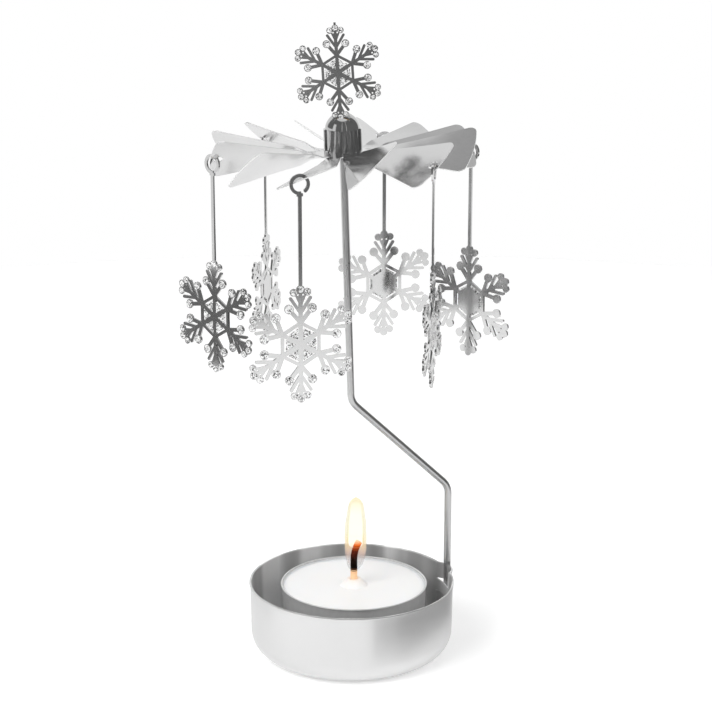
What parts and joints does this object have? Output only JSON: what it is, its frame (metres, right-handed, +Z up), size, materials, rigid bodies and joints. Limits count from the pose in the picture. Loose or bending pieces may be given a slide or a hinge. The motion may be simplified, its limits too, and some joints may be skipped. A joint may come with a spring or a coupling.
{
  "type": "tealight carousel",
  "caption": "Tealight holder with a bladed rotor that spins on a needle in the candle's warm air and carries hanging snowflakes.",
  "frame": {"origin": "centre of the flat underside of the candle cup", "axes": "+Z up along the cup's axis, -Y is the front, and the wire's foot stands at +X turned 20 degrees towards +Y"},
  "size_m": [0.0838, 0.0754, 0.1651],
  "materials": {
    "cup_steel": "satin outside, polished inside",
    "wire_steel": "bright drawn wire",
    "rotor_steel": "bright rolled sheet",
    "hub_chrome": "plated",
    "seat_brass": "turned",
    "finial_steel": "etched sheet with glitter dots",
    "flake_steel": "etched sheet with glitter dots",
    "foil": "bright foil",
    "wax": "smooth",
    "tin_plate": "tinned",
    "wick_cotton": "charred"
  },
  "bodies": {
    "stand": {"candle_cup": "cup_steel", "support_wire": "wire_steel"},
    "rotor": {"rotor": "rotor_steel", "hub_sleeve": "hub_chrome", "hub_cap": "hub_chrome", "pivot_seat": "seat_brass", "finial_snowflake": "finial_steel"},
    "snowflake_1": {"snowflake_1": "flake_steel"},
    "snowflake_2": {"snowflake_2": "flake_steel"},
    "snowflake_3": {"snowflake_3": "flake_steel"},
    "snowflake_4": {"snowflake_4": "flake_steel"},
    "snowflake_5": {"snowflake_5": "flake_steel"},
    "snowflake_6": {"snowflake_6": "flake_steel"},
    "tealight": {"tealight_cup": "foil", "tealight_wax": "wax", "wick_sustainer": "tin_plate", "tealight_wick": "wick_cotton"}
  },
  "joints": [
    {"name": "rotor_spin", "type": "hinge", "parent": "stand", "child": "rotor", "pos_m": [-0.00226, -0.00082, 0.14157], "axis": [-0.0279, -0.0101, 0.9996], "continuous": true},
    {"name": "snowflake_1_swing", "type": "hinge", "parent": "rotor", "child": "snowflake_1", "pos_m": [-0.03417, -0.00697, 0.13101], "axis": [-0.6691, -0.7431, 0], "range_deg": [-20, 20]},
    {"name": "snowflake_2_swing", "type": "hinge", "parent": "rotor", "child": "snowflake_2", "pos_m": [-0.01208, -0.03185, 0.13033], "axis": [0.3256, -0.9455, 0], "range_deg": [-20, 20]},
    {"name": "snowflake_3_swing", "type": "hinge", "parent": "rotor", "child": "snowflake_3", "pos_m": [0.01951, -0.02547, 0.13213], "axis": [0.9781, -0.2079, 0], "range_deg": [-20, 20]},
    {"name": "snowflake_4_swing", "type": "hinge", "parent": "rotor", "child": "snowflake_4", "pos_m": [0.03017, 0.00552, 0.13208], "axis": [0.6691, 0.7431, 0], "range_deg": [-20, 20]},
    {"name": "snowflake_5_swing", "type": "hinge", "parent": "rotor", "child": "snowflake_5", "pos_m": [0.00869, 0.03021, 0.13102], "axis": [-0.309, 0.9511, 0], "range_deg": [-20, 20]},
    {"name": "snowflake_6_swing", "type": "hinge", "parent": "rotor", "child": "snowflake_6", "pos_m": [-0.02261, 0.02476, 0.13146], "axis": [-0.9703, 0.2419, 0], "range_deg": [-20, 20]},
    {"name": "tealight_lift", "type": "slide", "parent": "stand", "child": "tealight", "axis": [0, 0, 1], "range_m": [0, 0.02]}
  ]
}
